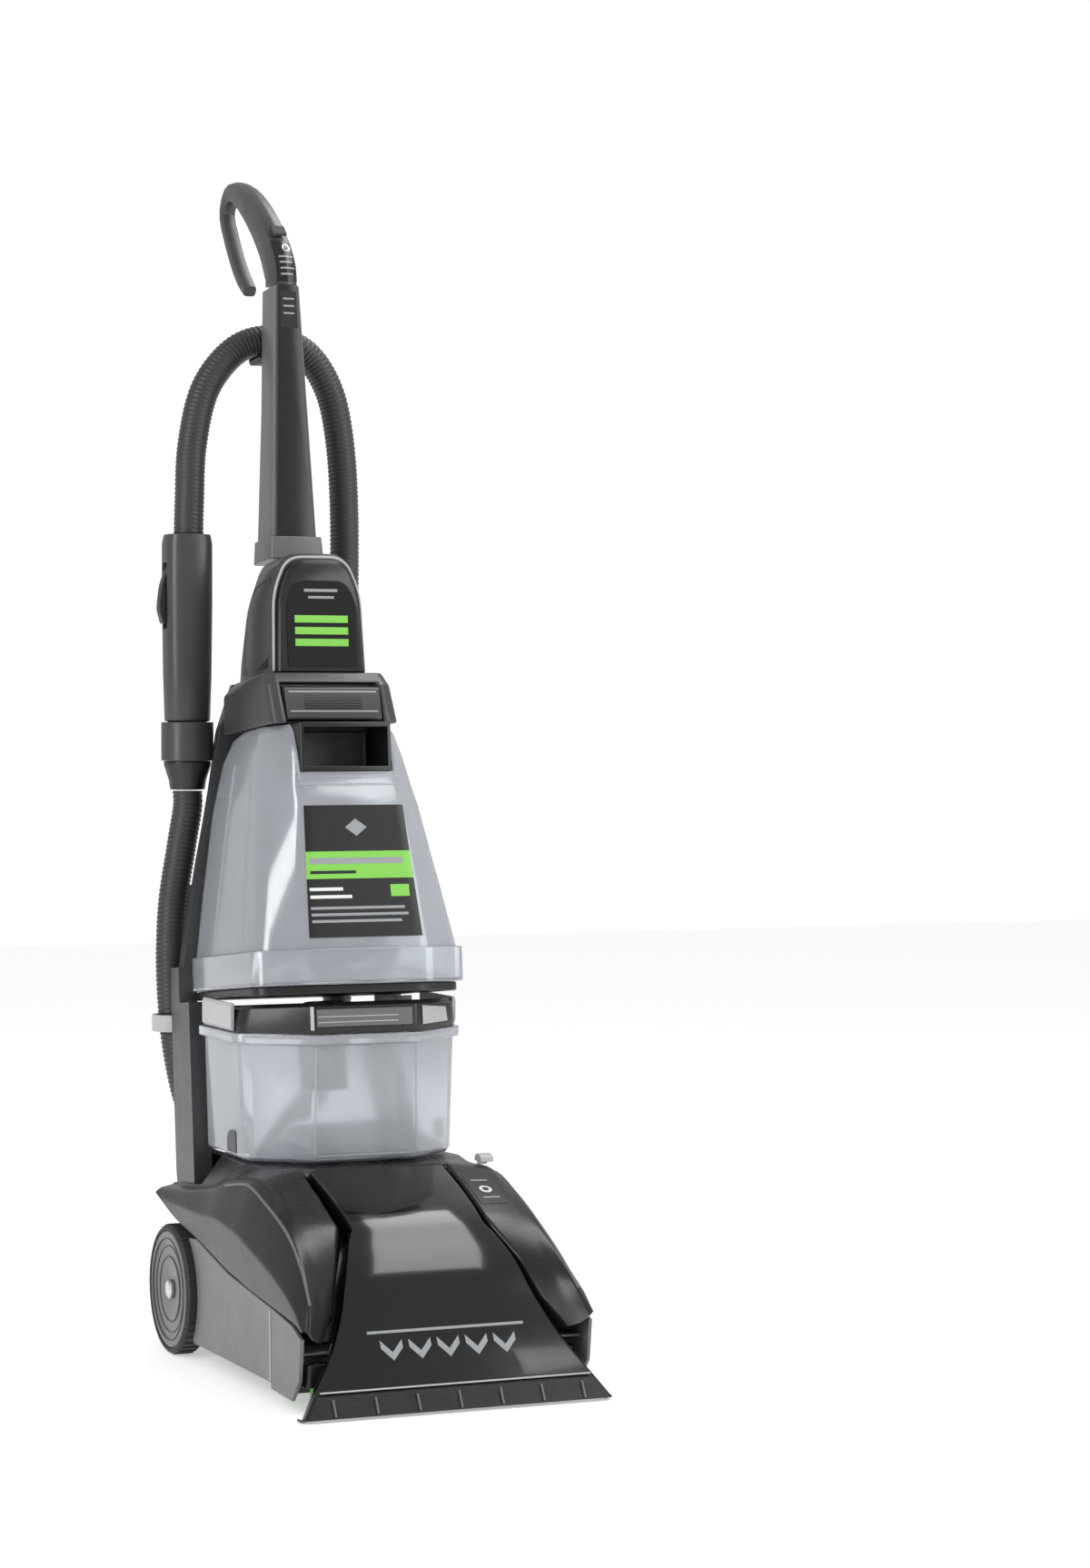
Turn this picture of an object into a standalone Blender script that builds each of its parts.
"""Upright carpet washer with a leaning handle, two tanks, five spinning brushes and a stowed hose.

Metres, +Z up, the front of the machine towards -Y. Pieces of the base are placed in the machine's
own frame, whose y is 0 at the recovery tank's front face. Pieces of the handle are drawn upright
and leaned back about the handle pivot by one parent empty.
"""
import math

import bmesh
import bpy
from mathutils import Matrix, Vector

for old in list(bpy.data.objects):
    bpy.data.objects.remove(old, do_unlink=True)

# Driving dimensions
GAP = 0.0003
WALL = 0.0025
MIDDLE_Y = 0.0898
LEAN = math.radians(5.4)
PIVOT_Y = 0.185
PIVOT_Z = 0.125
PIVOT_BORE = 0.0055
LEG_INNER_X = 0.0940
LEG_OUTER_X = 0.1120

SIDE_X = 0.1345
WHEEL_RADIUS = 0.0594
WHEEL_Y = 0.1515
WHEEL_INNER_X = 0.1200
WHEEL_OUTER_X = 0.1420
AXLE_RADIUS = 0.004
ARCH_RADIUS = 0.0655

PLATFORM_Z = 0.1855
NOZZLE_WALL = 0.0022
CHANNEL_DEPTH = 0.0105

BRUSH_COUNT = 5
BRUSH_PITCH = 0.046
BRUSH_Y = -0.153
BRUSH_TEETH = 12
PINION_TEETH = 6
TOOTH_HALF = 0.0017
PINION_Y = BRUSH_Y + BRUSH_PITCH / 2 * (1 + PINION_TEETH / BRUSH_TEETH)
PINION_X = BRUSH_PITCH * (BRUSH_COUNT - 1) / 2

TANK_FLOOR_Z = 0.1875
TANK_RIM_Z = 0.3035
RIM_LOW_V = 0.206
RIM_TOP_V = 0.238
CLEAN_TOP_V = 0.4465
SHOULDER_LOW_V = 0.4478
SHOULDER_TOP_V = 0.4975
DOME_TOP_V = 0.612
STEM_LOW_V = 0.6345
STEM_TOP_V = 0.8765

HOSE_RADIUS = 0.0145
GRIP_X = -0.0895
GRIP_Y = 0.252
CLIP_LOW_Z = 0.548
CLIP_TOP_Z = 0.585

finishes = {}


def finish(name, colour, roughness, metallic=0.0):
    material = bpy.data.materials.new(name)
    material.use_nodes = True
    shader = material.node_tree.nodes["Principled BSDF"]
    shader.inputs["Base Color"].default_value = (*colour, 1.0)
    shader.inputs["Roughness"].default_value = roughness
    shader.inputs["Metallic"].default_value = metallic
    finishes[name] = material


finish("charcoal_plastic", (0.035, 0.035, 0.037), 0.45)
finish("mid_grey_plastic", (0.16, 0.16, 0.155), 0.5)
finish("light_grey_plastic", (0.45, 0.45, 0.45), 0.45)
finish("black_plastic", (0.012, 0.012, 0.013), 0.4)
finish("smoked_plastic", (0.02, 0.02, 0.022), 0.12)
finish("clear_grey_plastic", (0.34, 0.37, 0.42), 0.2)
finish("green_nylon", (0.20, 0.55, 0.09), 0.6)
finish("steel", (0.55, 0.55, 0.56), 0.3, 1.0)
finish("rubber", (0.03, 0.03, 0.03), 0.8)
finish("hose_vinyl", (0.03, 0.03, 0.028), 0.55)


# Frames
def empty(name, location, parent=None, lean=0.0):
    holder = bpy.data.objects.new(name, None)
    bpy.context.scene.collection.objects.link(holder)
    holder.location = location
    holder.rotation_euler = (-lean, 0.0, 0.0)
    holder.parent = parent
    return holder


machine = empty("machine", (0.0, -MIDDLE_Y, 0.0))
handle = empty("handle_pivot", (0.0, PIVOT_Y, PIVOT_Z), machine, LEAN)


# Outline helpers
def rounded(corners, steps=3):
    """Polygon whose corners (a, b, radius) are turned into short curves."""
    outline = []
    count = len(corners)
    for i in range(count):
        here = Vector(corners[i][:2])
        before = Vector(corners[i - 1][:2])
        after = Vector(corners[(i + 1) % count][:2])
        radius = corners[i][2] if len(corners[i]) > 2 else 0.0
        if radius == 0.0:
            outline.append(tuple(here))
            continue
        start = here + (before - here).normalized() * min(radius, (before - here).length * 0.49)
        end = here + (after - here).normalized() * min(radius, (after - here).length * 0.49)
        for k in range(steps + 1):
            t = k / steps
            outline.append(tuple(start * (1 - t) ** 2 + here * 2 * t * (1 - t) + end * t ** 2))
    return outline


def arc(centre, radius, start, end, steps):
    points = []
    for k in range(steps + 1):
        angle = math.radians(start + (end - start) * k / steps)
        points.append((centre[0] + radius * math.cos(angle), centre[1] + radius * math.sin(angle)))
    return points


def mirrored(half):
    """Close a half outline that runs from x = 0 in front round +X to x = 0 behind."""
    return half + [(-x, y) for x, y in reversed(half[1:-1])]


def smooth(points, per_span):
    """Catmull-Rom curve through tuples of any length."""
    vectors = [Vector(p) for p in points]
    ends = [vectors[0] * 2 - vectors[1], *vectors, vectors[-1] * 2 - vectors[-2]]
    curve = []
    for i in range(1, len(ends) - 2):
        a, b, c, d = ends[i - 1:i + 3]
        for k in range(per_span):
            t = k / per_span
            curve.append(0.5 * (2 * b + (c - a) * t + (2 * a - 5 * b + 4 * c - d) * t ** 2
                                + (3 * b - a - 3 * c + d) * t ** 3))
    curve.append(vectors[-1])
    return curve


# Mesh helpers
def add(name, bm, material, parent, smooth_angle=40.0, spin_axis=None):
    """Make an object of a bmesh. spin_axis is the point that its origin sits on."""
    bm.normal_update()
    mesh = bpy.data.meshes.new(name)
    if spin_axis is not None:
        bmesh.ops.translate(bm, verts=bm.verts, vec=-Vector(spin_axis))
    bm.to_mesh(mesh)
    bm.free()
    mesh.shade_smooth()
    mesh.set_sharp_from_angle(angle=math.radians(smooth_angle))
    obj = bpy.data.objects.new(name, mesh)
    bpy.context.scene.collection.objects.link(obj)
    obj.data.materials.append(finishes[material])
    obj.parent = parent
    if spin_axis is not None:
        obj.location = spin_axis
    return obj


def loft(name, rings, material, parent, spin_axis=None):
    bm = bmesh.new()
    rows = [[bm.verts.new(p) for p in ring] for ring in rings]
    for low, high in zip(rows, rows[1:]):
        for i in range(len(low)):
            j = (i + 1) % len(low)
            bm.faces.new((low[i], low[j], high[j], high[i]))
    bm.faces.new(rows[0][::-1])
    bm.faces.new(rows[-1])
    bmesh.ops.recalc_face_normals(bm, faces=bm.faces)
    return add(name, bm, material, parent, spin_axis=spin_axis)


def slab(name, outline, axis, low, high, material, parent, spin_axis=None):
    """Flat outline in the two other axes, given thickness from low to high along axis."""
    place = {"X": lambda a, b, t: (t, a, b), "Y": lambda a, b, t: (a, t, b),
             "Z": lambda a, b, t: (a, b, t)}[axis]
    rings = [[place(a, b, t) for a, b in outline] for t in (low, high)]
    return loft(name, rings, material, parent, spin_axis)


def block(name, low, high, material, parent, edge=0.0, spin_axis=None):
    outline = [(low[0], low[1], edge), (high[0], low[1], edge), (high[0], high[1], edge),
               (low[0], high[1], edge)]
    return slab(name, rounded(outline), "Z", low[2], high[2], material, parent, spin_axis)


def turned(name, profile, centre, axis, material, parent, sides=32, spin_axis=None):
    """Turn a closed profile of (radius, height) about an axis through centre."""
    place = {"X": lambda c, s, h: (h, c, s), "Y": lambda c, s, h: (c, h, s),
             "Z": lambda c, s, h: (c, s, h)}[axis]
    bm = bmesh.new()
    rows = []
    for radius, height in profile:
        if radius == 0.0:
            rows.append([bm.verts.new(Vector(centre) + Vector(place(0.0, 0.0, height)))])
            continue
        row = []
        for k in range(sides):
            angle = 2 * math.pi * k / sides
            point = place(radius * math.cos(angle), radius * math.sin(angle), height)
            row.append(bm.verts.new(Vector(centre) + Vector(point)))
        rows.append(row)
    for a, b in zip(rows, rows[1:] + rows[:1]):
        for k in range(sides):
            j = (k + 1) % sides
            corners = [a[k % len(a)], a[j % len(a)], b[j % len(b)], b[k % len(b)]]
            unique = list(dict.fromkeys(corners))
            if len(unique) > 2:
                bm.faces.new(unique)
    bmesh.ops.recalc_face_normals(bm, faces=bm.faces)
    return add(name, bm, material, parent, spin_axis=spin_axis)


def skin(name, rows, thickness, material, parent, outward):
    """Open sheet of points, thickened towards the inside."""
    bm = bmesh.new()
    grid = [[bm.verts.new(p) for p in row] for row in rows]
    for low, high in zip(grid, grid[1:]):
        for i in range(len(low) - 1):
            bm.faces.new((low[i], low[i + 1], high[i + 1], high[i]))
    bm.normal_update()
    bm.faces.ensure_lookup_table()
    middle = bm.faces[len(bm.faces) // 2]
    if middle.normal.dot(Vector(outward)) < 0:
        bmesh.ops.reverse_faces(bm, faces=bm.faces)
    obj = add(name, bm, material, parent)
    solid = obj.modifiers.new("wall", "SOLIDIFY")
    solid.thickness = thickness
    solid.offset = -1.0
    solid.use_even_offset = True
    return obj


def combine(target, tool, operation):
    tool.hide_render = True
    tool.display_type = "WIRE"
    modifier = target.modifiers.new(tool.name, "BOOLEAN")
    modifier.object = tool
    modifier.operation = operation
    modifier.solver = "EXACT"
    return target


def cut(target, tool):
    return combine(target, tool, "DIFFERENCE")


def fuse(target, tool):
    return combine(target, tool, "UNION")


def tube(name, points, radius, resolution, material, parent):
    curve = bpy.data.curves.new(name, "CURVE")
    curve.dimensions = "3D"
    curve.bevel_depth = radius
    curve.bevel_resolution = resolution
    curve.use_fill_caps = True
    spline = curve.splines.new("POLY")
    spline.points.add(len(points) - 1)
    for target, point in zip(spline.points, points):
        target.co = (*point, 1.0)
    obj = bpy.data.objects.new(name, curve)
    bpy.context.scene.collection.objects.link(obj)
    obj.data.materials.append(finishes[material])
    obj.parent = parent
    return obj


# Base: floor tray, casing and running gear
def chassis():
    outline = [(-0.122, -0.103, 0.004), (0.122, -0.103, 0.004), (0.122, 0.081), (0.100, 0.081),
               (0.100, 0.204), (-0.100, 0.204), (-0.100, 0.081), (-0.122, 0.081)]
    inner = [(-0.119, -0.100), (0.119, -0.100), (0.119, 0.078), (0.097, 0.078),
             (0.097, 0.201), (-0.097, 0.201), (-0.097, 0.078), (-0.119, 0.078)]
    tray = slab("chassis", rounded(outline), "Z", 0.018, 0.050, "charcoal_plastic", machine)
    cut(tray, slab("chassis_pocket", inner, "Z", 0.0215, 0.060, "charcoal_plastic", machine))
    for side in (-1, 1):
        low_x, high_x = sorted((side * 0.084, side * 0.0965))
        post = [(WHEEL_Y - 0.014, 0.0185), (WHEEL_Y + 0.014, 0.0185), (WHEEL_Y + 0.014, 0.066, 0.008),
                (WHEEL_Y - 0.014, 0.066, 0.008)]
        fuse(tray, slab(f"axle_post_{side}", rounded(post), "X", low_x, high_x,
                        "charcoal_plastic", machine))
        low_x, high_x = sorted((side * 0.080, side * 0.100))
        skid = [(-0.098, 0.019), (-0.088, 0.0), (-0.044, 0.0), (-0.034, 0.019)]
        fuse(tray, slab(f"skid_{side}", skid, "X", low_x, high_x, "charcoal_plastic", machine))
    bore = turned("axle_bore", [(0.0, -0.11), (AXLE_RADIUS + GAP, -0.11), (AXLE_RADIUS + GAP, 0.11),
                                (0.0, 0.11)], (0, WHEEL_Y, WHEEL_RADIUS), "X", "steel", machine, 16)
    cut(tray, bore)


def side_skirt(name, side):
    """Lower side panel: flat, cut away round the wheel, its top edge under the hood."""
    wheel = arc((WHEEL_Y, WHEEL_RADIUS), ARCH_RADIUS, 217, 127, 8)
    outline = [(-0.1175, 0.017), (wheel[0][0] - 0.004, 0.017), *wheel, (0.0885, 0.1135), (-0.002, 0.0950),
               (-0.101, 0.0835), (-0.1175, 0.0820)]
    low_x, high_x = sorted((side * (SIDE_X - 0.0035), side * SIDE_X))
    return slab(name, outline, "X", low_x, high_x, "mid_grey_plastic", machine)


def brush_shroud():
    """Side cheeks and roof over the brush block."""
    outline = [(-0.1182, 0.012), (-0.172, 0.010), (-0.190, 0.030), (-0.195, 0.066), (-0.171, 0.0745),
               (-0.1182, 0.0820)]
    left = slab("brush_shroud", outline, "X", -SIDE_X, -SIDE_X + 0.0035, "mid_grey_plastic", machine)
    fuse(left, slab("shroud_right", outline, "X", SIDE_X - 0.0035, SIDE_X, "mid_grey_plastic", machine))
    fuse(left, block("shroud_roof", (-SIDE_X + 0.002, -0.176, 0.0485), (SIDE_X - 0.002, -0.138, 0.0508),
                     "mid_grey_plastic", machine))


def hood():
    """Upper casing: flat deck under the tank, ridged shoulders and cheeks beside the nozzle."""
    stations = [
        [(0.1345, 0.2120, 0.1415), (0.1335, 0.2120, 0.1435), (0.1290, 0.2120, 0.1465),
         (0.1165, 0.2120, 0.1490), (0.0930, 0.2120, PLATFORM_Z), (0.0500, 0.2120, PLATFORM_Z)],
        [(0.1345, 0.1500, 0.1245), (0.1340, 0.1500, 0.1390), (0.1285, 0.1500, 0.1505),
         (0.1165, 0.1500, 0.1540), (0.0930, 0.1500, PLATFORM_Z), (0.0500, 0.1500, PLATFORM_Z)],
        [(0.1345, 0.0850, 0.1145), (0.1342, 0.0850, 0.1380), (0.1255, 0.0850, 0.1570),
         (0.1180, 0.0850, 0.1630), (0.1000, 0.0850, PLATFORM_Z), (0.0500, 0.0850, PLATFORM_Z)],
        [(0.1345, 0.0400, 0.1060), (0.1342, 0.0400, 0.1400), (0.1225, 0.0400, 0.1690),
         (0.1150, 0.0400, 0.1750), (0.1040, 0.0400, PLATFORM_Z), (0.0500, 0.0400, PLATFORM_Z)],
        [(0.1345, -0.0120, 0.0960), (0.1342, -0.0120, 0.1350), (0.1190, -0.0120, 0.1750),
         (0.1115, -0.0120, 0.1800), (0.0695, -0.0120, 0.1850), (0.0500, -0.0120, 0.1850)],
        [(0.1345, -0.0170, 0.0955), (0.1342, -0.0170, 0.1345), (0.1190, -0.0170, 0.1745),
         (0.1115, -0.0170, 0.1795), (0.0695, -0.0170, 0.1840), (0.0672, -0.0170, 0.1660)],
        [(0.1345, -0.0600, 0.0895), (0.1342, -0.0600, 0.1250), (0.1180, -0.0600, 0.1630),
         (0.1060, -0.0600, 0.1665), (0.0695, -0.0600, 0.1680), (0.0672, -0.0600, 0.1500)],
        [(0.1345, -0.1100, 0.0843), (0.1342, -0.1100, 0.1130), (0.1170, -0.1100, 0.1450),
         (0.1050, -0.1100, 0.1455), (0.0695, -0.1100, 0.1470), (0.0672, -0.1100, 0.1300)],
        [(0.1345, -0.1500, 0.0802), (0.1342, -0.1520, 0.1000), (0.1200, -0.1570, 0.1190),
         (0.1070, -0.1530, 0.1170), (0.0850, -0.1470, 0.1160), (0.0820, -0.1380, 0.1050)],
        [(0.1345, -0.1800, 0.0765), (0.1342, -0.1820, 0.0860), (0.1240, -0.1890, 0.0940),
         (0.1120, -0.1800, 0.0880), (0.0965, -0.1690, 0.0840), (0.0930, -0.1580, 0.0750)],
        [(0.1345, -0.1960, 0.0720), (0.1342, -0.1985, 0.0735), (0.1300, -0.2040, 0.0730),
         (0.1220, -0.1980, 0.0640), (0.1130, -0.1890, 0.0600), (0.1080, -0.1680, 0.0580)],
    ]
    rows = []
    for half in stations:
        last = half[-1]
        left = [(-x, y, z) for x, y, z in half]
        rows.append(left + [(0.0, last[1], last[2])] + half[::-1])
    shell = skin("hood", rows, 0.0024, "charcoal_plastic", machine, (0, 0, 1))
    for side in (-1, 1):
        low_x, high_x = sorted((side * 0.0925, side * 0.1155))
        cut(shell, block(f"leg_slot_{side}", (low_x, 0.1300, 0.120), (high_x, 0.2300, 0.200),
                         "charcoal_plastic", machine))


def rear_cover():
    """Curved back wall with exhaust slots."""
    outside = [(0.2078, 0.024), (0.2140, 0.050), (0.2170, 0.100), (0.2150, 0.150), (0.2110, 0.1825)]
    inside = [(y - 0.003, z) for y, z in reversed(outside)]
    wall = slab("rear_cover", outside + inside, "X", -0.0820, 0.0820, "charcoal_plastic", machine)
    for k in range(6):
        low = (-0.052, 0.195, 0.098 + 0.011 * k)
        high = (0.052, 0.230, 0.103 + 0.011 * k)
        cut(wall, block(f"exhaust_slot_{k}", low, high, "charcoal_plastic", machine))


def pivot_bracket(name, side):
    """Plate rising from the tray, with the pin that the handle leg turns on."""
    outline = [(0.1665, 0.0505), (0.200, 0.0505), (0.202, PIVOT_Z, 0.014), (0.196, 0.146, 0.010),
               (0.176, 0.146, 0.010), (0.170, PIVOT_Z, 0.014)]
    low_x, high_x = sorted((side * 0.0850, side * 0.0917))
    plate = slab(name, rounded(outline), "X", low_x, high_x, "charcoal_plastic", machine)
    reach = sorted((side * 0.0880, side * 0.1125))
    pin = [(0.0, reach[0]), (PIVOT_BORE - GAP, reach[0]), (PIVOT_BORE - GAP, reach[1]), (0.0, reach[1])]
    fuse(plate, turned(f"{name}_pin", pin, (0, PIVOT_Y, PIVOT_Z), "X", "steel", machine, 16))


def axle():
    tip = WHEEL_OUTER_X
    profile = [(0.0, -tip), (0.007, -tip), (0.009, -tip + 0.001), (0.009, -WHEEL_OUTER_X + 0.004),
               (AXLE_RADIUS, -WHEEL_OUTER_X + 0.004)]
    other = [(radius, -height) for radius, height in reversed(profile)]
    turned("axle", profile + other, (0, WHEEL_Y, WHEEL_RADIUS), "X", "steel", machine, 16)


def wheel(side_name, side):
    centre = (0, WHEEL_Y, WHEEL_RADIUS)
    spot = (side * (WHEEL_INNER_X + WHEEL_OUTER_X) / 2, WHEEL_Y, WHEEL_RADIUS)
    rim = WHEEL_RADIUS - 0.0055
    bore = AXLE_RADIUS + GAP
    hub = [(bore, 0.1205), (0.012, 0.1205), (0.012, 0.1300), (0.046, 0.1300), (0.049, 0.1210),
           (rim, 0.1210), (rim, 0.1410), (0.049, 0.1415), (0.040, 0.1395), (0.020, 0.1395),
           (0.012, 0.1375), (bore, 0.1375)]
    turned(f"wheel_{side_name}", [(r, side * x) for r, x in hub], centre, "X", "mid_grey_plastic",
           machine, 36, spot)
    inner = rim + GAP
    tread = [(inner, WHEEL_INNER_X), (WHEEL_RADIUS - 0.001, WHEEL_INNER_X),
             (WHEEL_RADIUS, WHEEL_INNER_X + 0.002), (WHEEL_RADIUS, WHEEL_OUTER_X - 0.003),
             (WHEEL_RADIUS - 0.002, WHEEL_OUTER_X), (inner, WHEEL_OUTER_X)]
    turned(f"tyre_{side_name}", [(r, side * x) for r, x in tread], centre, "X", "rubber", machine, 36,
           spot)


def suction_motor():
    """Motor can, armature with the fan on one shaft, and the fan housing above."""
    centre = (0, 0.060, 0)
    can = [(0.020, 0.030), (0.042, 0.030), (0.042, 0.118), (0.007, 0.118), (0.007, 0.115),
           (0.039, 0.115), (0.039, 0.033), (0.020, 0.033)]
    turned("motor_case", can, centre, "Z", "steel", machine, 24)
    rotor = [(0.0, 0.024), (0.004, 0.024), (0.004, 0.045), (0.026, 0.045), (0.026, 0.098), (0.004, 0.098),
             (0.004, 0.128), (0.044, 0.128), (0.044, 0.130), (0.020, 0.148), (0.018, 0.148),
             (0.018, 0.132), (0.006, 0.132), (0.006, 0.150), (0.0, 0.150)]
    turned("motor_rotor", rotor, centre, "Z", "steel", machine, 24, (0, 0.060, 0.080))
    volute = [(0.0475, 0.1215), (0.0500, 0.1215), (0.0500, 0.160), (0.015, 0.160), (0.015, 0.157),
              (0.0475, 0.157)]
    turned("fan_housing", volute, centre, "Z", "black_plastic", machine, 24)


def release_pedal():
    outline = [(0.218, 0.046, 0.004), (0.232, 0.054, 0.004), (0.252, 0.048, 0.003), (0.253, 0.053, 0.003),
               (0.232, 0.061, 0.004), (0.218, 0.058, 0.004)]
    slab("release_pedal", rounded(outline), "X", -0.080, -0.040, "charcoal_plastic", machine,
         (-0.060, 0.221, 0.054))


def brush_selector():
    """Slide knob on the right shoulder of the hood."""
    outline = [(-0.014, 0.1838), (0.002, 0.1838), (0.001, 0.1895, 0.002), (-0.006, 0.1915, 0.002),
               (-0.013, 0.1890, 0.002)]
    slab("brush_selector", rounded(outline), "X", 0.1040, 0.1170, "light_grey_plastic", machine,
         (0.1105, -0.006, 0.187))


# Nozzle and brushes
NOZZLE_LINE = [(-0.0207, 0.1847, 0.0645), (-0.0700, 0.1695, 0.0632), (-0.1211, 0.1480, 0.0620),
               (-0.1330, 0.1380, 0.0685), (-0.1530, 0.1190, 0.0780), (-0.1750, 0.0850, 0.0905),
               (-0.1960, 0.0500, 0.1090), (-0.2115, 0.0220, 0.1290), (-0.2232, 0.0030, 0.1423)]


def nozzle_inward(index):
    """Direction from the nozzle's face into the machine, level at the lip that lies on the floor."""
    if index == len(NOZZLE_LINE) - 1:
        return Vector((1.15, 0.0))
    before = NOZZLE_LINE[max(index - 1, 0)]
    after = NOZZLE_LINE[index + 1]
    along = Vector((after[0] - before[0], after[1] - before[1])).normalized()
    return Vector((-along.y, along.x))


def nozzle_row(index, offsets):
    y, z, half = NOZZLE_LINE[index]
    inward = nozzle_inward(index)
    return [(x, y + inward.x * depth, z + inward.y * depth) for x, depth in offsets(half)]


def nozzle():
    depth = CHANNEL_DEPTH + NOZZLE_WALL

    def cover_line(half):
        right = [(0.0, 0.0), (half - 0.003, 0.0), (half, 0.003), (half, depth)]
        return [(-x, d) for x, d in right[:0:-1]] + right

    def back_line(half):
        reach = half - NOZZLE_WALL - 0.0026
        return [(-reach, CHANNEL_DEPTH), (0.0, CHANNEL_DEPTH), (reach, CHANNEL_DEPTH)]

    def lip_line(half):
        return [(-half + 0.004, -0.0018), (0.0, -0.0018), (half - 0.004, -0.0018)]

    count = len(NOZZLE_LINE)
    rows = [nozzle_row(i, cover_line) for i in range(count)]
    skin("nozzle_cover", rows, NOZZLE_WALL, "smoked_plastic", machine, (0, -0.7, 0.7))
    rows = [nozzle_row(i, back_line) for i in range(count)]
    skin("nozzle_back", rows, NOZZLE_WALL, "black_plastic", machine, (0, -0.7, 0.7))
    rows = [nozzle_row(i, lip_line) for i in range(count - 2, count)]
    skin("nozzle_lip", rows, 0.0014, "mid_grey_plastic", machine, (0, -0.7, 0.7))


def gear_outline(teeth, pitch_radius, phase):
    """Outline of a coarse spur gear: four points for each tooth."""
    step = 360 / teeth
    points = []
    for k in range(teeth):
        middle = phase + k * step
        for radius, part in ((pitch_radius - TOOTH_HALF, -0.27), (pitch_radius + TOOTH_HALF, -0.12),
                             (pitch_radius + TOOTH_HALF, 0.12), (pitch_radius - TOOTH_HALF, 0.27)):
            angle = math.radians(middle + part * step)
            points.append((radius * math.cos(angle), radius * math.sin(angle)))
    return points


def brush(index):
    """Toothed disc with a hub hole and eight bristle tufts below."""
    x = (index - (BRUSH_COUNT - 1) / 2) * BRUSH_PITCH
    name = f"brush_{index + 1}"
    phase = 180 / BRUSH_TEETH * (index % 2)
    outline = [(x + a, BRUSH_Y + b) for a, b in gear_outline(BRUSH_TEETH, BRUSH_PITCH / 2 - 0.0002, phase)]
    disc = slab(name, outline, "Z", 0.0265, 0.0335, "green_nylon", machine, (x, BRUSH_Y, 0.030))
    for k in range(8):
        angle = math.radians(45 * k + 22.5)
        foot = (x + 0.0150 * math.cos(angle), BRUSH_Y + 0.0150 * math.sin(angle))
        tuft = arc(foot, 0.0033, 0, 300, 5)
        fuse(disc, slab(f"{name}_tuft_{k}", tuft, "Z", 0.0015, 0.0280, "green_nylon", machine))
    hole = arc((x, BRUSH_Y), 0.0045, 0, 330, 11)
    cut(disc, slab(f"{name}_hole", hole, "Z", 0.0, 0.060, "green_nylon", machine))


def brush_block():
    """Housing open below, with a peg for each brush and a notch for the drive pinion."""
    reach = 0.1255
    outer = block("brush_block", (-reach, -0.1815, 0.0215), (reach, -0.1245, 0.0415),
                  "charcoal_plastic", machine, 0.006)
    cut(outer, block("block_pocket", (-reach + 0.003, -0.1788, 0.0100), (reach - 0.003, -0.1272, 0.0365),
                     "charcoal_plastic", machine, 0.006))
    cut(outer, block("pinion_notch", (PINION_X - 0.0150, -0.1400, 0.0100),
                     (PINION_X + 0.0150, -0.1150, 0.0500), "charcoal_plastic", machine))
    for index in range(BRUSH_COUNT):
        x = (index - (BRUSH_COUNT - 1) / 2) * BRUSH_PITCH
        peg = arc((x, BRUSH_Y), 0.0040, 0, 330, 11)
        fuse(outer, slab(f"peg_{index}", peg, "Z", 0.0230, 0.0380, "charcoal_plastic", machine))


def brush_drive():
    """Air turbine wheel, its upright shaft and the pinion below, with the turbine housing."""
    spot = (PINION_X, PINION_Y, 0.0)
    pinion = [(PINION_X + a, PINION_Y + b)
              for a, b in gear_outline(PINION_TEETH, BRUSH_PITCH / 2 * PINION_TEETH / BRUSH_TEETH, 0)]
    drive = slab("brush_drive", pinion, "Z", 0.0240, 0.0400, "black_plastic", machine,
                 (PINION_X, PINION_Y, 0.050))
    spindle = [(0.0, 0.030), (0.003, 0.030), (0.003, 0.060), (0.008, 0.060), (0.008, 0.063),
               (0.0205, 0.063), (0.0205, 0.0655), (0.008, 0.0655), (0.008, 0.078), (0.0, 0.078)]
    fuse(drive, turned("spindle", spindle, spot, "Z", "black_plastic", machine, 16))
    for k in range(8):
        angle = math.radians(45 * k)
        side = Vector((-math.sin(angle), math.cos(angle), 0)) * 0.0008
        inner = Vector(spot) + Vector((math.cos(angle), math.sin(angle), 0)) * 0.006
        outer = Vector(spot) + Vector((math.cos(angle), math.sin(angle), 0)) * 0.0200
        corners = [inner - side, outer - side, outer + side, inner + side]
        fuse(drive, slab(f"blade_{k}", [(c.x, c.y) for c in corners], "Z", 0.0645, 0.0760,
                         "black_plastic", machine))
    cup = [(0.0215, 0.0580), (0.0238, 0.0580), (0.0238, 0.0830), (0.0070, 0.0830), (0.0070, 0.0808),
           (0.0215, 0.0808)]
    turned("turbine_housing", cup, spot, "Z", "charcoal_plastic", machine, 24)


# Recovery tank
def recovery_plan(half, front, back, inset=0.0):
    """Plan of the tank: flat nose, angled corners, narrowed behind to pass between the legs."""
    rear_half = min(half - 0.016, LEG_INNER_X - 0.0008) - inset
    corners = [(0.0, front + inset), (0.049 - inset * 0.4, front + inset, 0.003),
               (half - inset, 0.050 + inset * 0.4, 0.010), (half - inset, 0.156 - inset, 0.004),
               (rear_half, 0.161 - inset, 0.004), (rear_half, back - inset, 0.010),
               (0.0, back - inset)]
    return mirrored(rounded(corners))


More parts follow.
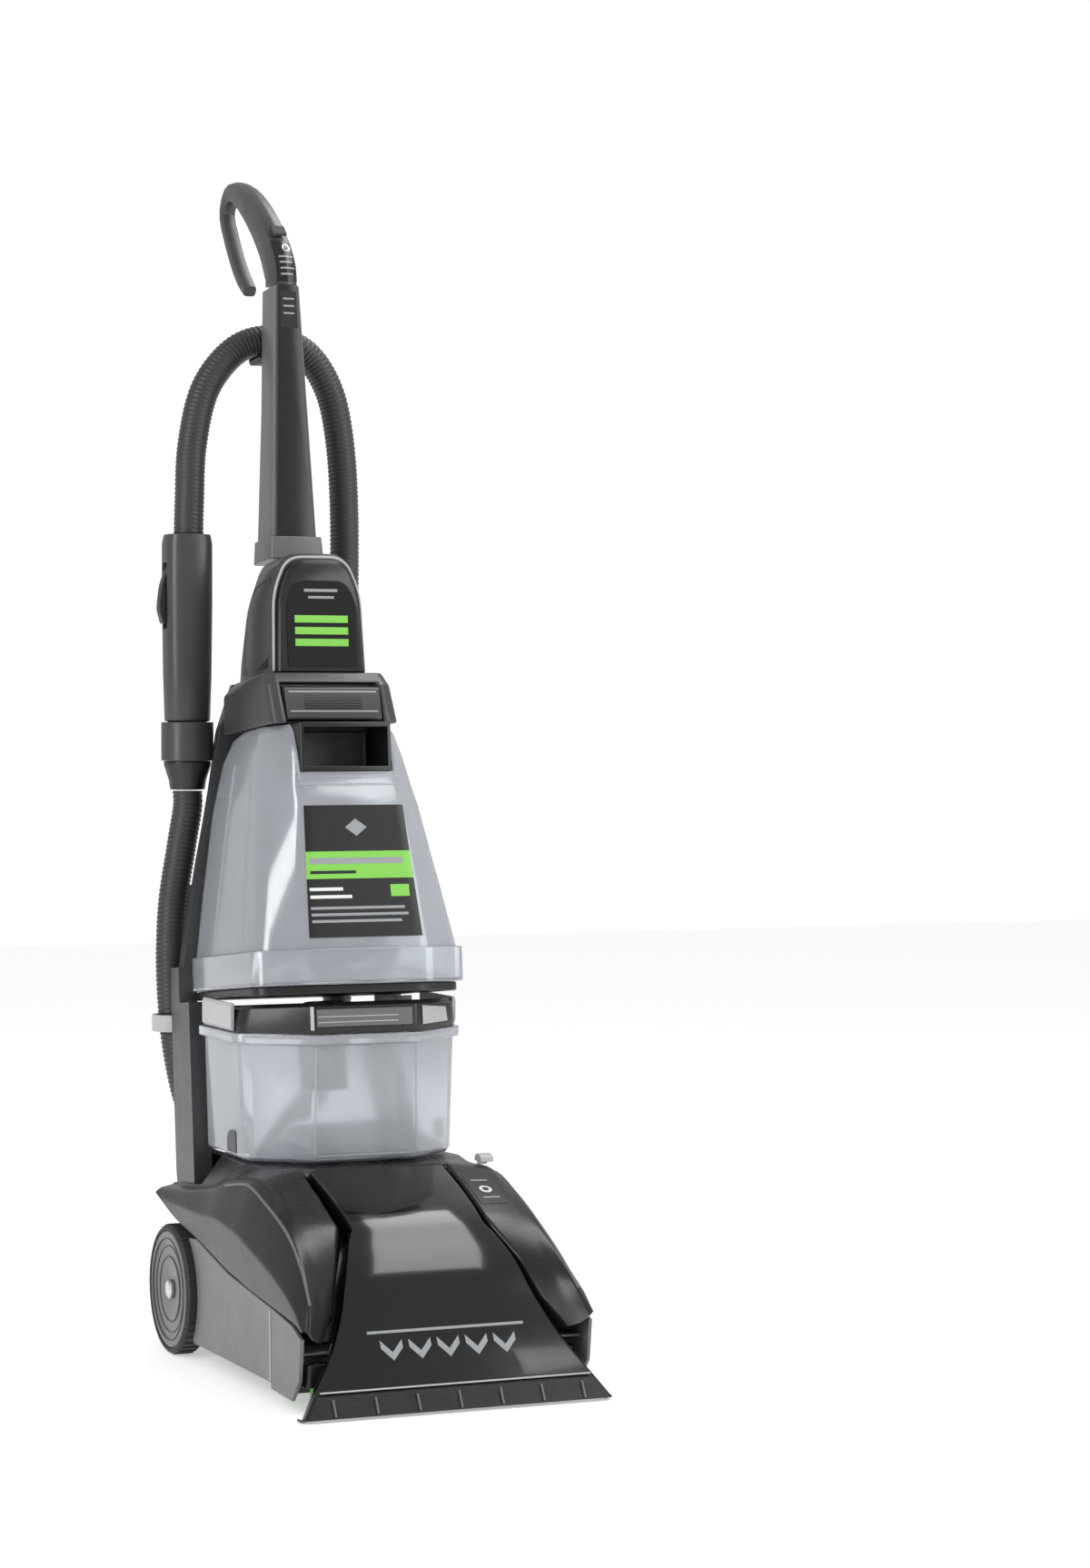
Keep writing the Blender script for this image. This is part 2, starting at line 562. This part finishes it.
def recovery_tank():
    def ring(z, grow):
        half = 0.1015 + grow + 0.0035 * (z - TANK_FLOOR_Z) / (TANK_RIM_Z - TANK_FLOOR_Z)
        front = 0.0075 - grow - 0.0035 * (z - TANK_FLOOR_Z) / (TANK_RIM_Z - TANK_FLOOR_Z)
        return [(x, y, z) for x, y in recovery_plan(half, front, 0.2125 + grow)]

    flange = TANK_RIM_Z - 0.009
    tub = loft("recovery_tub", [ring(TANK_FLOOR_Z, -0.004), ring(TANK_FLOOR_Z + 0.004, 0.0),
                                ring(flange, 0.0), ring(flange, 0.0058), ring(TANK_RIM_Z, 0.0058)],
               "clear_grey_plastic", machine)
    cut(tub, loft("tub_inside", [ring(TANK_FLOOR_Z + 0.003, -WALL - 0.003),
                                 ring(TANK_FLOOR_Z + 0.008, -WALL), ring(TANK_RIM_Z + 0.010, -WALL)],
                  "clear_grey_plastic", machine))
    seat = TANK_RIM_Z + GAP

    def lid_ring(z_front, z_back, grow):
        points = ring(TANK_RIM_Z, grow)
        return [(x, y, z_front + (z_back - z_front) * (y - 0.004) / 0.2085) for x, y, z in points]

    lid = loft("recovery_lid", [ring(seat, 0.0008), ring(seat + 0.006, 0.0008),
                                lid_ring(0.3290, 0.3120, -0.0010), lid_ring(0.3330, 0.3155, -0.0060)],
               "charcoal_plastic", machine)
    cut(lid, loft("lid_inside", [ring(seat - 0.010, -0.0035), ring(seat + 0.004, -0.0035),
                                 lid_ring(0.3265, 0.3095, -0.0050), lid_ring(0.3300, 0.3125, -0.0085)],
                  "charcoal_plastic", machine))
    cage_spot = (0.0, 0.110, 0.0)
    cage = [(0.0125, 0.2440), (0.0215, 0.2440), (0.0215, 0.3240), (0.0185, 0.3240), (0.0185, 0.2465),
            (0.0125, 0.2465)]
    fuse(lid, turned("float_cage", cage, cage_spot, "Z", "charcoal_plastic", machine, 16))
    ball = [(0.0, 0.2470), (0.0165, 0.2470), (0.0175, 0.2500), (0.0175, 0.2700), (0.0120, 0.2760),
            (0.0, 0.2760)]
    turned("tank_float", ball, cage_spot, "Z", "light_grey_plastic", machine, 16, (0, 0.110, 0.260))
    gasket = loft("lid_gasket", [ring(TANK_RIM_Z - 0.0040, -WALL - GAP), ring(seat - 0.0006, -WALL - GAP)],
                  "rubber", machine)
    cut(gasket, loft("gasket_inside", [ring(TANK_RIM_Z - 0.010, -WALL - 0.0033),
                                       ring(TANK_RIM_Z + 0.010, -WALL - 0.0033)], "rubber", machine))
    for side_name, side in (("left", -1), ("right", 1)):
        outline = [(0.1064, 0.3056), (0.1067, 0.3048), (0.1080, 0.3046), (0.1102, 0.3078),
                   (0.1102, 0.3270), (0.1088, 0.3300), (0.1064, 0.3300)]
        slab(f"lid_clip_{side_name}", [(side * x, z) for x, z in outline], "Y", 0.0620, 0.1450,
             "light_grey_plastic", machine, (side * 0.1070, 0.1035, 0.3056))


# Handle, drawn upright about its pivot and leaned back by its parent
def back_frame():
    """Two legs round the recovery tank, joined above into the back panel of the handle."""
    leg = [*arc((0, 0), 0.0250, 180, 360, 8), (0.030, 0.040), (0.030, 0.2300), (-0.024, 0.2300),
           (-0.025, 0.100)]
    sections = [(0.2100, 0.1100, 0.0045, 0.0300), (0.3300, 0.0905, 0.0045, 0.0310),
                (0.4550, 0.0655, -0.0020, 0.0200), (0.4970, 0.0540, -0.0100, 0.0060)]
    rings = []
    for v, half, front, back in sections:
        corners = [(-half, front), (half, front), (half, back, 0.012), (-half, back, 0.012)]
        rings.append([(x, u, v) for x, u in rounded(corners)])
    frame = loft("back_frame", rings, "mid_grey_plastic", handle)
    for side in (-1, 1):
        low_x, high_x = sorted((side * LEG_INNER_X, side * LEG_OUTER_X))
        fuse(frame, slab(f"leg_{side}", [(u, v) for u, v in leg], "X", low_x, high_x,
                         "mid_grey_plastic", handle))
    cut(frame, slab("leg_top_trim", [(-0.040, RIM_LOW_V - 0.0095), (0.0045 - GAP, RIM_LOW_V - 0.0095),
                                     (0.0045 - GAP, 0.260), (-0.040, 0.260)], "X", -0.130, 0.130,
                    "mid_grey_plastic", handle))
    recess = [(0.0, 0.4300), (0.0262, 0.4300), (0.0262, 0.6200), (0.0, 0.6200)]
    cut(frame, turned("clip_recess", recess, (GRIP_X, GRIP_Y, 0), "Z", "steel", machine, 24))
    bore = turned("pivot_bore", [(0.0, -0.13), (PIVOT_BORE, -0.13), (PIVOT_BORE, 0.13), (0.0, 0.13)],
                  (0, 0, 0), "X", "steel", handle, 16)
    cut(frame, bore)


def clean_plan(half, corner, label_half, centre, back, inset=0.0):
    corners = [(0.0, centre + inset), (label_half - inset * 0.5, centre + inset, 0.007),
               (half - inset, corner + inset * 0.5, 0.012), (half - inset, back - inset, 0.016),
               (0.0, back - inset)]
    return mirrored(rounded(corners))


def tank_shelf():
    plan = clean_plan(0.0990, -0.1800, 0.0560, -0.1980, 0.0035)
    low = RIM_LOW_V - 0.0085
    rings = [[(x, u, v) for x, u in plan] for v in (low, RIM_LOW_V - GAP)]
    loft("tank_shelf", rings, "black_plastic", handle)


def clean_tank():
    sections = [(0.2383, 0.0985, -0.1830, 0.0589, -0.2060, 0.0035),
                (0.3000, 0.0900, -0.1660, 0.0560, -0.1945, 0.0028),
                (0.3700, 0.0795, -0.1465, 0.0514, -0.1825, 0.0010),
                (0.3860, 0.0765, -0.1410, 0.0500, -0.1740, -0.0010),
                (0.4200, 0.0705, -0.1300, 0.0470, -0.1640, -0.0100),
                (0.4400, 0.0655, -0.1230, 0.0450, -0.1560, -0.0270),
                (CLEAN_TOP_V, 0.0610, -0.1180, 0.0430, -0.1500, -0.0450)]

    def ring(section, inset):
        v = section[0]
        return [(x, u, v) for x, u in clean_plan(*section[1:], inset)]

    shell = loft("clean_tank", [ring(s, 0.0) for s in sections], "clear_grey_plastic", handle)
    inside = [ring((0.2300, *sections[0][1:]), WALL)]
    inside += [ring(s, WALL) for s in sections[:-1]]
    top = (CLEAN_TOP_V - WALL, *sections[-1][1:])
    inside.append(ring(top, WALL * 1.6))
    cut(shell, loft("clean_inside", inside, "clear_grey_plastic", handle))
    cut(shell, block("grip_notch", (-0.0455, -0.2200, 0.4005), (0.0455, -0.1080, 0.4600),
                     "clear_grey_plastic", handle))
    hole = [(0.0, 0.40), (0.0200, 0.40), (0.0200, 0.47), (0.0, 0.47)]
    cut(shell, turned("filler_hole", hole, (0, -0.080, 0), "Z", "clear_grey_plastic", handle, 20))

    rim = (0.1025, -0.1880, 0.0600, -0.2095, 0.0040)
    tray_rings = [[(x, u, v) for x, u in clean_plan(*rim)] for v in (RIM_LOW_V, RIM_TOP_V)]
    tray = loft("clean_tank_tray", tray_rings, "clear_grey_plastic", handle)
    hollow = clean_plan(*rim, 0.0070)
    cut(tray, loft("tray_inside", [[(x, u, v) for x, u in hollow] for v in (RIM_LOW_V + 0.003, 0.250)],
                   "clear_grey_plastic", handle))

    grip = block("tank_grip", (-0.0450, -0.1685, 0.4010), (0.0450, -0.1085, CLEAN_TOP_V),
                 "black_plastic", handle, 0.004)
    cut(grip, block("grip_pocket", (-0.0410, -0.1900, 0.4060), (0.0410, -0.1125, 0.4420),
                    "black_plastic", handle, 0.004))
    cap = [(0.0, 0.4300), (0.0160, 0.4300), (0.0160, 0.4400), (0.0195, 0.4400), (0.0195, 0.4462),
           (0.0150, 0.4462), (0.0150, 0.4425), (0.0, 0.4425)]
    turned("filler_cap", cap, (0, -0.080, 0), "Z", "black_plastic", handle, 20, (0, -0.080, 0.440))


def shoulders():
    """Housing over the tank, recessed in front for the tank latch."""
    low = rounded([(-0.0620, -0.1467, 0.010), (0.0620, -0.1467, 0.010), (0.0650, -0.006, 0.006),
                   (-0.0650, -0.006, 0.006)])
    high = rounded([(-0.0590, -0.1180, 0.010), (0.0590, -0.1180, 0.010), (0.0530, -0.0115, 0.006),
                    (-0.0530, -0.0115, 0.006)])
    rings = [[(x, u, SHOULDER_LOW_V) for x, u in low],
             [(x * 0.995, u * 0.4 + v * 0.6, 0.4850) for (x, u), (y, v) in zip(low, high)],
             [(x, u, SHOULDER_TOP_V) for x, u in high]]
    housing = loft("shoulder_housing", rings, "mid_grey_plastic", handle)
    cut(housing, block("latch_recess", (-0.0480, -0.1700, 0.4400), (0.0480, -0.1195, 0.4870),
                       "mid_grey_plastic", handle))
    outline = [(-0.1202, 0.4845), (-0.1360, 0.4815, 0.002), (-0.1425, 0.4510, 0.003), (-0.1202, 0.4510)]
    slab("tank_latch", rounded(outline), "X", -0.0466, 0.0466, "mid_grey_plastic", handle,
         (0, -0.1225, 0.4795))


def dome():
    """Arched body that carries the stem: grey surround and a dark front cover."""
    def arch(half, low, top, spring):
        rise = rounded([(half, low), (half - 0.003, spring, 0.016), (half - 0.017, top, 0.014),
                        (0.0, top)], 4)
        return rise + [(-x, v) for x, v in reversed(rise[:-1])]

    low = SHOULDER_TOP_V + GAP
    depths = [(-0.1030, 0.0455, 0.608, 0.575), (-0.0980, 0.0475, 0.6115, 0.578),
              (-0.0450, 0.0475, 0.6115, 0.578), (-0.0250, 0.0465, 0.597, 0.565),
              (-0.0080, 0.0460, 0.560, 0.530)]
    rings = [[(x, u, v) for x, v in arch(half, low, top, spring)] for u, half, top, spring in depths]
    loft("dome_surround", rings, "light_grey_plastic", handle)
    depths = [(-0.1120, 0.0405, 0.600, 0.570), (-0.1100, 0.0430, 0.604, 0.573),
              (-0.1033, 0.0430, 0.604, 0.573)]
    rings = [[(x, u, v) for x, v in arch(half, low + 0.001, top, spring)]
             for u, half, top, spring in depths]
    loft("dome_cover", rings, "charcoal_plastic", handle)


def stem():
    def ring(v, half, front, back, edge):
        corners = [(-half, front, edge), (half, front, edge), (half, back, edge), (-half, back, edge)]
        return [(x, u, v) for x, u in rounded(corners, 2)]

    loft("stem_collar", [ring(DOME_TOP_V + GAP, 0.0275, -0.0560, 0.0, 0.006),
                         ring(STEM_LOW_V - GAP, 0.0262, -0.0545, -0.0010, 0.006)],
         "light_grey_plastic", handle)
    shell = loft("stem_shell", [ring(STEM_LOW_V, 0.0226, -0.0485, -0.0015, 0.004),
                                ring(0.7600, 0.0180, -0.0485, -0.0107, 0.004),
                                ring(STEM_TOP_V, 0.0131, -0.0485, -0.0125, 0.003)],
                 "light_grey_plastic", handle)
    cut(shell, loft("stem_channel", [ring(STEM_LOW_V + 0.004, 0.0150, -0.0600, -0.0250, 0.002),
                                     ring(STEM_TOP_V - 0.004, 0.0075, -0.0600, -0.0280, 0.002)],
                    "light_grey_plastic", handle))
    loft("stem_front", [ring(STEM_LOW_V, 0.0196, -0.0512, -0.0488, 0.001),
                        ring(STEM_TOP_V, 0.0101, -0.0512, -0.0488, 0.001)],
         "charcoal_plastic", handle)
    tongue = [(-0.0113, 0.8060), (0.0260, 0.8120), (0.0300, 0.8155), (0.0300, 0.8340), (0.0265, 0.8340),
              (0.0255, 0.8165), (-0.0113, 0.8165)]
    slab("hose_hook", tongue, "X", -0.0140, 0.0140, "black_plastic", handle)


def hook_grip():
    """Closed-cane hand grip: a band that rises from the stem, turns over and comes down again."""
    line = [(0.2359, 1.0030, 0.0190, 0.0131), (0.2372, 1.0160, 0.0188, 0.0130),
            (0.2500, 1.0350, 0.0175, 0.0128), (0.2735, 1.0580, 0.0165, 0.0122),
            (0.3030, 1.0805, 0.0150, 0.0115), (0.3340, 1.0985, 0.0130, 0.0105),
            (0.3620, 1.1090, 0.0105, 0.0092), (0.3850, 1.1085, 0.0085, 0.0080),
            (0.3975, 1.0960, 0.0072, 0.0074), (0.3940, 1.0800, 0.0066, 0.0072),
            (0.3670, 1.0430, 0.0064, 0.0072), (0.3450, 1.0205, 0.0062, 0.0070),
            (0.3280, 1.0080, 0.0056, 0.0062)]
    stations = smooth(line, 2)
    rings = []
    for i, here in enumerate(stations):
        before = stations[max(i - 1, 0)]
        after = stations[min(i + 1, len(stations) - 1)]
        along = Vector((after[0] - before[0], after[1] - before[1])).normalized()
        across = Vector((-along.y, along.x))
        thick, half = here[2], here[3]
        edge = thick * 0.6
        corners = [(-half, -thick, edge), (half, -thick, edge), (half, thick, edge), (-half, thick, edge)]
        rings.append([(x, here[0] + across.x * t, here[1] + across.y * t)
                      for x, t in rounded(corners, 2)])
    grip = loft("hook_grip", rings, "mid_grey_plastic", machine)
    cut(grip, block("trigger_slot", (-0.0062, 0.2480, 1.0080), (0.0062, 0.3100, 1.0560),
                    "mid_grey_plastic", machine))
    outline = [(0.2700, 1.0500, 0.002), (0.2570, 1.0330, 0.002), (0.2565, 1.0150, 0.002),
               (0.2680, 1.0120, 0.004), (0.2790, 1.0300, 0.006), (0.2865, 1.0475, 0.003)]
    slab("spray_trigger", rounded(outline), "X", -0.0055, 0.0055, "light_grey_plastic", machine,
         (0, 0.2740, 1.0440))
    middle = Vector((0.2460, 1.0549))
    along = Vector((0.733, 0.680))
    out = Vector((-0.680, 0.733))
    corners = [(-0.0072, 0.0020), (0.0072, 0.0020), (0.0062, 0.0048), (-0.0062, 0.0048)]
    switch = [tuple(middle + along * a + out * b) for a, b in corners]
    slab("power_switch", switch, "X", -0.0070, 0.0070, "black_plastic", machine, (0, 0.2460, 1.0549))


def cord_gland():
    profile = [(0.0, 0.0314), (0.0090, 0.0314), (0.0090, 0.0340), (0.0065, 0.0350), (0.0050, 0.0510),
               (0.0030, 0.0510), (0.0030, 0.0370), (0.0, 0.0370)]
    turned("cord_gland", profile, (0, 0, 0.3000), "Y", "black_plastic", handle, 14)


# Hose, its clip and the hand grip on its end
HOSE_ROUTE = [
    (-0.0880, 0.252, 0.7492), (-0.0880, 0.252, 0.7650), (-0.0865, 0.254, 0.795), (-0.0820, 0.259, 0.850),
    (-0.0670, 0.264, 0.905), (-0.0355, 0.268, 0.943), (0.0000, 0.269, 0.9545), (0.0355, 0.268, 0.943),
    (0.0595, 0.267, 0.909), (0.0710, 0.267, 0.860), (0.0765, 0.269, 0.790), (0.0780, 0.274, 0.690),
    (0.0775, 0.280, 0.570), (0.0770, 0.284, 0.450), (0.0755, 0.284, 0.350), (0.0680, 0.281, 0.268),
    (0.0430, 0.276, 0.206), (0.0000, 0.271, 0.178), (-0.0460, 0.265, 0.178), (-0.0800, 0.259, 0.207),
    (-0.0975, 0.255, 0.262), (-0.1055, 0.254, 0.335), (-0.1045, 0.2535, 0.405), (-0.0960, 0.2525, 0.464),
    (-0.0897, 0.252, 0.502), (-0.0895, 0.252, 0.5192),
]


def hose():
    tube("hose", smooth(HOSE_ROUTE, 3), HOSE_RADIUS, 2, "hose_vinyl", machine)


def hose_fittings():
    spot = (GRIP_X, GRIP_Y, 0.0)
    ring = [(0.0185, CLIP_LOW_Z), (0.0250, CLIP_LOW_Z), (0.0250, CLIP_TOP_Z), (0.0185, CLIP_TOP_Z)]
    turned("wand_clip", ring, spot, "Z", "mid_grey_plastic", machine, 24)
    cuff = [(0.0, 0.5205), (0.0165, 0.5205), (0.0180, 0.5300), (0.0225, 0.5440), (0.0225, CLIP_LOW_Z - GAP),
            (0.0180, CLIP_LOW_Z - GAP), (0.0180, 0.5650), (0.0, 0.5650)]
    turned("hose_cuff", cuff, spot, "Z", "black_plastic", machine, 20)
    guide_spot = (-0.1022, 0.2545, 0.0)
    ring = [(0.0178, 0.290), (0.0214, 0.290), (0.0214, 0.306), (0.0178, 0.306)]
    guide = turned("hose_guide", ring, guide_spot, "Z", "light_grey_plastic", machine, 20)
    fuse(guide, block("guide_arm", (-0.1110, 0.2322, 0.292), (-0.0960, 0.2362, 0.304),
                      "light_grey_plastic", machine))


def hand_grip():
    sections = [(0.5672, 0.0180, 0.0180, 1.0), (CLIP_TOP_Z + GAP, 0.0180, 0.0180, 1.0),
                (CLIP_TOP_Z + 0.001, 0.0215, 0.0195, 0.85), (0.6300, 0.0225, 0.0205, 0.75),
                (0.7000, 0.0232, 0.0210, 0.7), (0.7550, 0.0232, 0.0210, 0.7), (0.7640, 0.0215, 0.0195, 0.7)]
    rings = []
    for z, half_x, half_y, power in sections:
        ring = []
        for k in range(24):
            angle = 2 * math.pi * k / 24
            c, s = math.cos(angle), math.sin(angle)
            ring.append((GRIP_X + half_x * math.copysign(abs(c) ** power, c),
                         GRIP_Y + half_y * math.copysign(abs(s) ** power, s), z))
        rings.append(ring)
    grip = loft("hand_grip", rings, "mid_grey_plastic", machine)
    socket = [(0.0, 0.7480), (0.0156, 0.7480), (0.0190, 0.8000), (0.0, 0.8000)]
    cut(grip, turned("grip_socket", socket, (-0.0880, GRIP_Y, 0), "Z", "mid_grey_plastic", machine, 20))
    cut(grip, block("grip_trigger_slot", (-0.1300, GRIP_Y - 0.0064, 0.6740),
                    (-0.0950, GRIP_Y + 0.0064, 0.7370), "mid_grey_plastic", machine))
    outline = [(-0.1050, 0.7335), (-0.1100, 0.7335, 0.002), (-0.1165, 0.7150, 0.006),
               (-0.1190, 0.6930, 0.004), (-0.1150, 0.6775, 0.003), (-0.1075, 0.6810, 0.003)]
    slab("grip_trigger", rounded(outline), "Y", GRIP_Y - 0.0052, GRIP_Y + 0.0052, "black_plastic", machine,
         (-0.1075, GRIP_Y, 0.7290))


chassis()
side_skirt("side_skirt_left", -1)
side_skirt("side_skirt_right", 1)
brush_shroud()
hood()
rear_cover()
pivot_bracket("pivot_bracket_left", -1)
pivot_bracket("pivot_bracket_right", 1)
axle()
wheel("left", -1)
wheel("right", 1)
suction_motor()
release_pedal()
brush_selector()
nozzle()
brush_block()
for number in range(BRUSH_COUNT):
    brush(number)
brush_drive()
recovery_tank()
back_frame()
tank_shelf()
clean_tank()
shoulders()
dome()
stem()
hook_grip()
cord_gland()
hose()
hose_fittings()
hand_grip()
